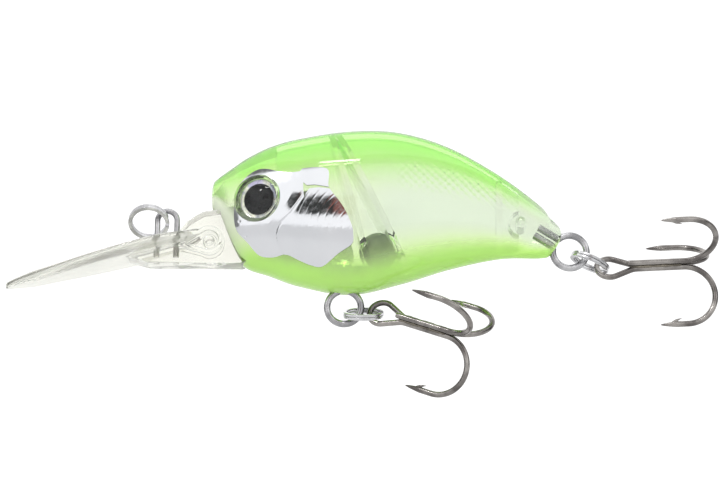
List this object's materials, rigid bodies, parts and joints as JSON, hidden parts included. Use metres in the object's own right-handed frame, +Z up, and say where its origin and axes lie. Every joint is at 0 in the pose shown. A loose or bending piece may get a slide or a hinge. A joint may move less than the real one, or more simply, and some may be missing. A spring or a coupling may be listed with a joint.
{
  "type": "crankbait lure",
  "caption": "Deep-bodied diving fishing lure with a clear two-part body, clear bill, wire line tie and split rings carrying treble hooks.",
  "frame": {"origin": "centre of the bend of the line tie's wire, in the lure's middle plane", "axes": "+X from the bill to the tail, +Z up towards the back, +Y to the lure's right side"},
  "size_m": [0.1011, 0.0202, 0.0394],
  "materials": {
    "body_clear_green": "clear moulded plastic, fading green paint",
    "bill_clear": "clear moulded plastic",
    "steel_wire": "drawn stainless wire",
    "steel_ring": "polished",
    "black_nickel_hook": "black nickel plating",
    "chrome_foil": "bright plating",
    "iris_foil": "silver foil",
    "pupil_black": "gloss",
    "lens_clear": "clear dome",
    "ballast_steel": "plain steel"
  },
  "bodies": {
    "lure": {"body_left": "body_clear_green", "body_right": "body_clear_green", "bill": "bill_clear", "line_tie_wire": "steel_wire", "belly_hanger": "steel_wire", "tail_hanger": "steel_wire", "left_cheek_plate": "chrome_foil", "right_cheek_plate": "chrome_foil", "left_iris": "iris_foil", "right_iris": "iris_foil", "left_pupil": "pupil_black", "right_pupil": "pupil_black", "left_eye_lens": "lens_clear", "right_eye_lens": "lens_clear"},
    "line_ring": {"line_tie_ring": "steel_ring"},
    "belly_ring": {"belly_ring": "steel_ring"},
    "belly_treble": {"belly_double_hook": "black_nickel_hook", "belly_single_hook": "black_nickel_hook"},
    "tail_ring": {"tail_ring": "steel_ring"},
    "tail_treble": {"tail_double_hook": "black_nickel_hook", "tail_single_hook": "black_nickel_hook"},
    "ballast": {"ballast_ball": "ballast_steel"}
  },
  "joints": [
    {"name": "line_ring_swing", "type": "hinge", "parent": "lure", "child": "line_ring", "pos_m": [0, 0, -0.0002], "axis": [0, 1, 0], "range_deg": [0, 110]},
    {"name": "belly_ring_swing", "type": "hinge", "parent": "lure", "child": "belly_ring", "pos_m": [0.02534, 0, -0.01275], "axis": [0, 1, 0], "range_deg": [0, 105]},
    {"name": "belly_treble_swing", "type": "hinge", "parent": "belly_ring", "child": "belly_treble", "pos_m": [0.02805, 0, -0.0137], "axis": [0, -0.4067, 0.9135], "range_deg": [-35, 35]},
    {"name": "tail_ring_swing", "type": "hinge", "parent": "lure", "child": "tail_ring", "pos_m": [0.05753, 0, -0.00461], "axis": [0, 1, 0], "range_deg": [-75, 100]},
    {"name": "tail_treble_swing", "type": "hinge", "parent": "tail_ring", "child": "tail_treble", "pos_m": [0.0604, 0, -0.0062], "axis": [0.4226, 0, 0.9063], "range_deg": [-45, 45]},
    {"name": "ballast_roll", "type": "slide", "parent": "lure", "child": "ballast", "axis": [1, 0, 0], "range_m": [-0.0003, 0.0003]}
  ]
}
